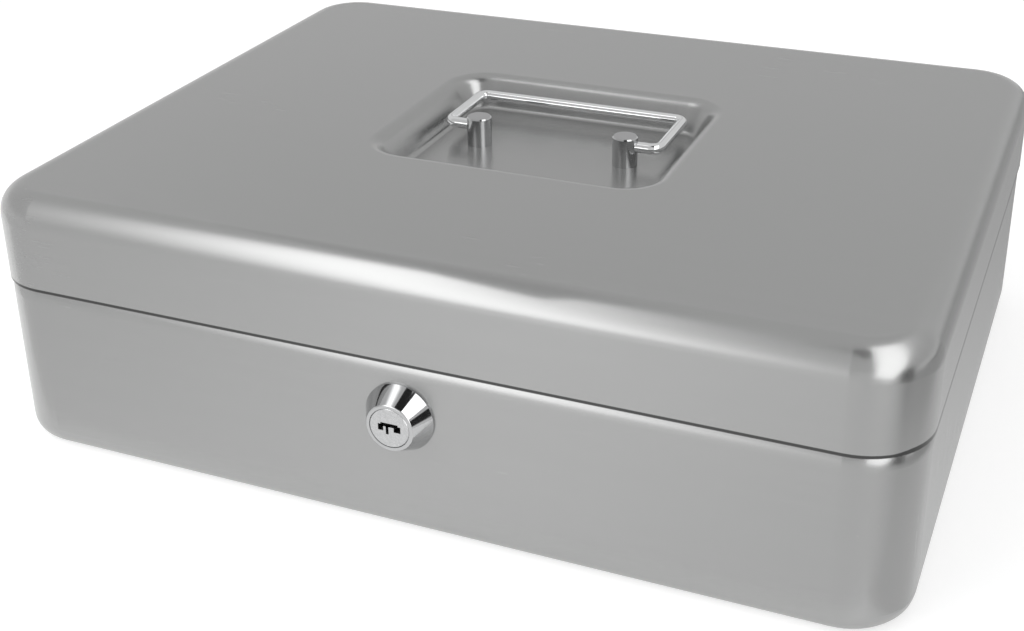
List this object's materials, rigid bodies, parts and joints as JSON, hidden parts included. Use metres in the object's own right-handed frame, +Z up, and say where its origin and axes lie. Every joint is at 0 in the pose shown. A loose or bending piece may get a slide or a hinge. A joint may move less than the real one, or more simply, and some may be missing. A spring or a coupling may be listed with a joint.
{
  "type": "steel cash box",
  "caption": "Silver steel cash box with a hinged lid, a folding chrome bail handle in a sunk pan, a cam lock on the front and a lift-out coin tray.",
  "frame": {"origin": "centre of the flat underside of the base", "axes": "+Z up, the front with the lock faces -Y, +X to the right of someone who faces the front"},
  "size_m": [0.3, 0.2495, 0.09],
  "materials": {
    "silver_paint": "satin silver metallic with a fine lengthwise grain",
    "chrome": "polished chrome plating",
    "zinc_plate": "zinc-plated steel",
    "wafer_brass": "stamped brass",
    "tray_plastic": "moulded black plastic, fine texture"
  },
  "bodies": {
    "base": {"base_shell": "silver_paint", "hinge_base_leaf_left": "zinc_plate", "hinge_base_leaf_right": "zinc_plate", "hinge_pin_left": "zinc_plate", "hinge_pin_right": "zinc_plate", "lock_barrel": "chrome", "lock_washer": "zinc_plate", "lock_nut": "zinc_plate", "tray_rest_left": "silver_paint", "tray_rest_right": "silver_paint"},
    "lid": {"lid_shell": "silver_paint", "hinge_lid_leaf_left": "zinc_plate", "hinge_lid_leaf_right": "zinc_plate", "handle_post_left": "chrome", "handle_post_right": "chrome", "post_screws": "zinc_plate", "post_washers": "zinc_plate", "lid_catch": "zinc_plate"},
    "bail": {"handle_bail": "chrome"},
    "plug": {"lock_plug": "chrome", "lock_cam": "zinc_plate", "cam_washer": "zinc_plate", "cam_screw": "zinc_plate", "lock_wafer_1": "wafer_brass", "lock_wafer_2": "wafer_brass", "lock_wafer_3": "wafer_brass", "lock_wafer_4": "wafer_brass", "lock_wafer_5": "wafer_brass"},
    "tray": {"coin_tray": "tray_plastic"}
  },
  "joints": [
    {"name": "lid_hinge", "type": "hinge", "parent": "base", "child": "lid", "pos_m": [0, 0.12005, 0.059], "axis": [-1, 0, 0], "range_deg": [0, 105]},
    {"name": "handle_swing", "type": "hinge", "parent": "lid", "child": "bail", "pos_m": [0, 0.002, 0.0859], "axis": [1, 0, 0], "range_deg": [0, 180]},
    {"name": "lock_turn", "type": "hinge", "parent": "base", "child": "plug", "pos_m": [0, -0.1195, 0.0415], "axis": [0, 1, 0], "range_deg": [0, 90]},
    {"name": "tray_lift", "type": "slide", "parent": "base", "child": "tray", "axis": [0, 0, 1], "range_m": [0, 0.014]}
  ]
}
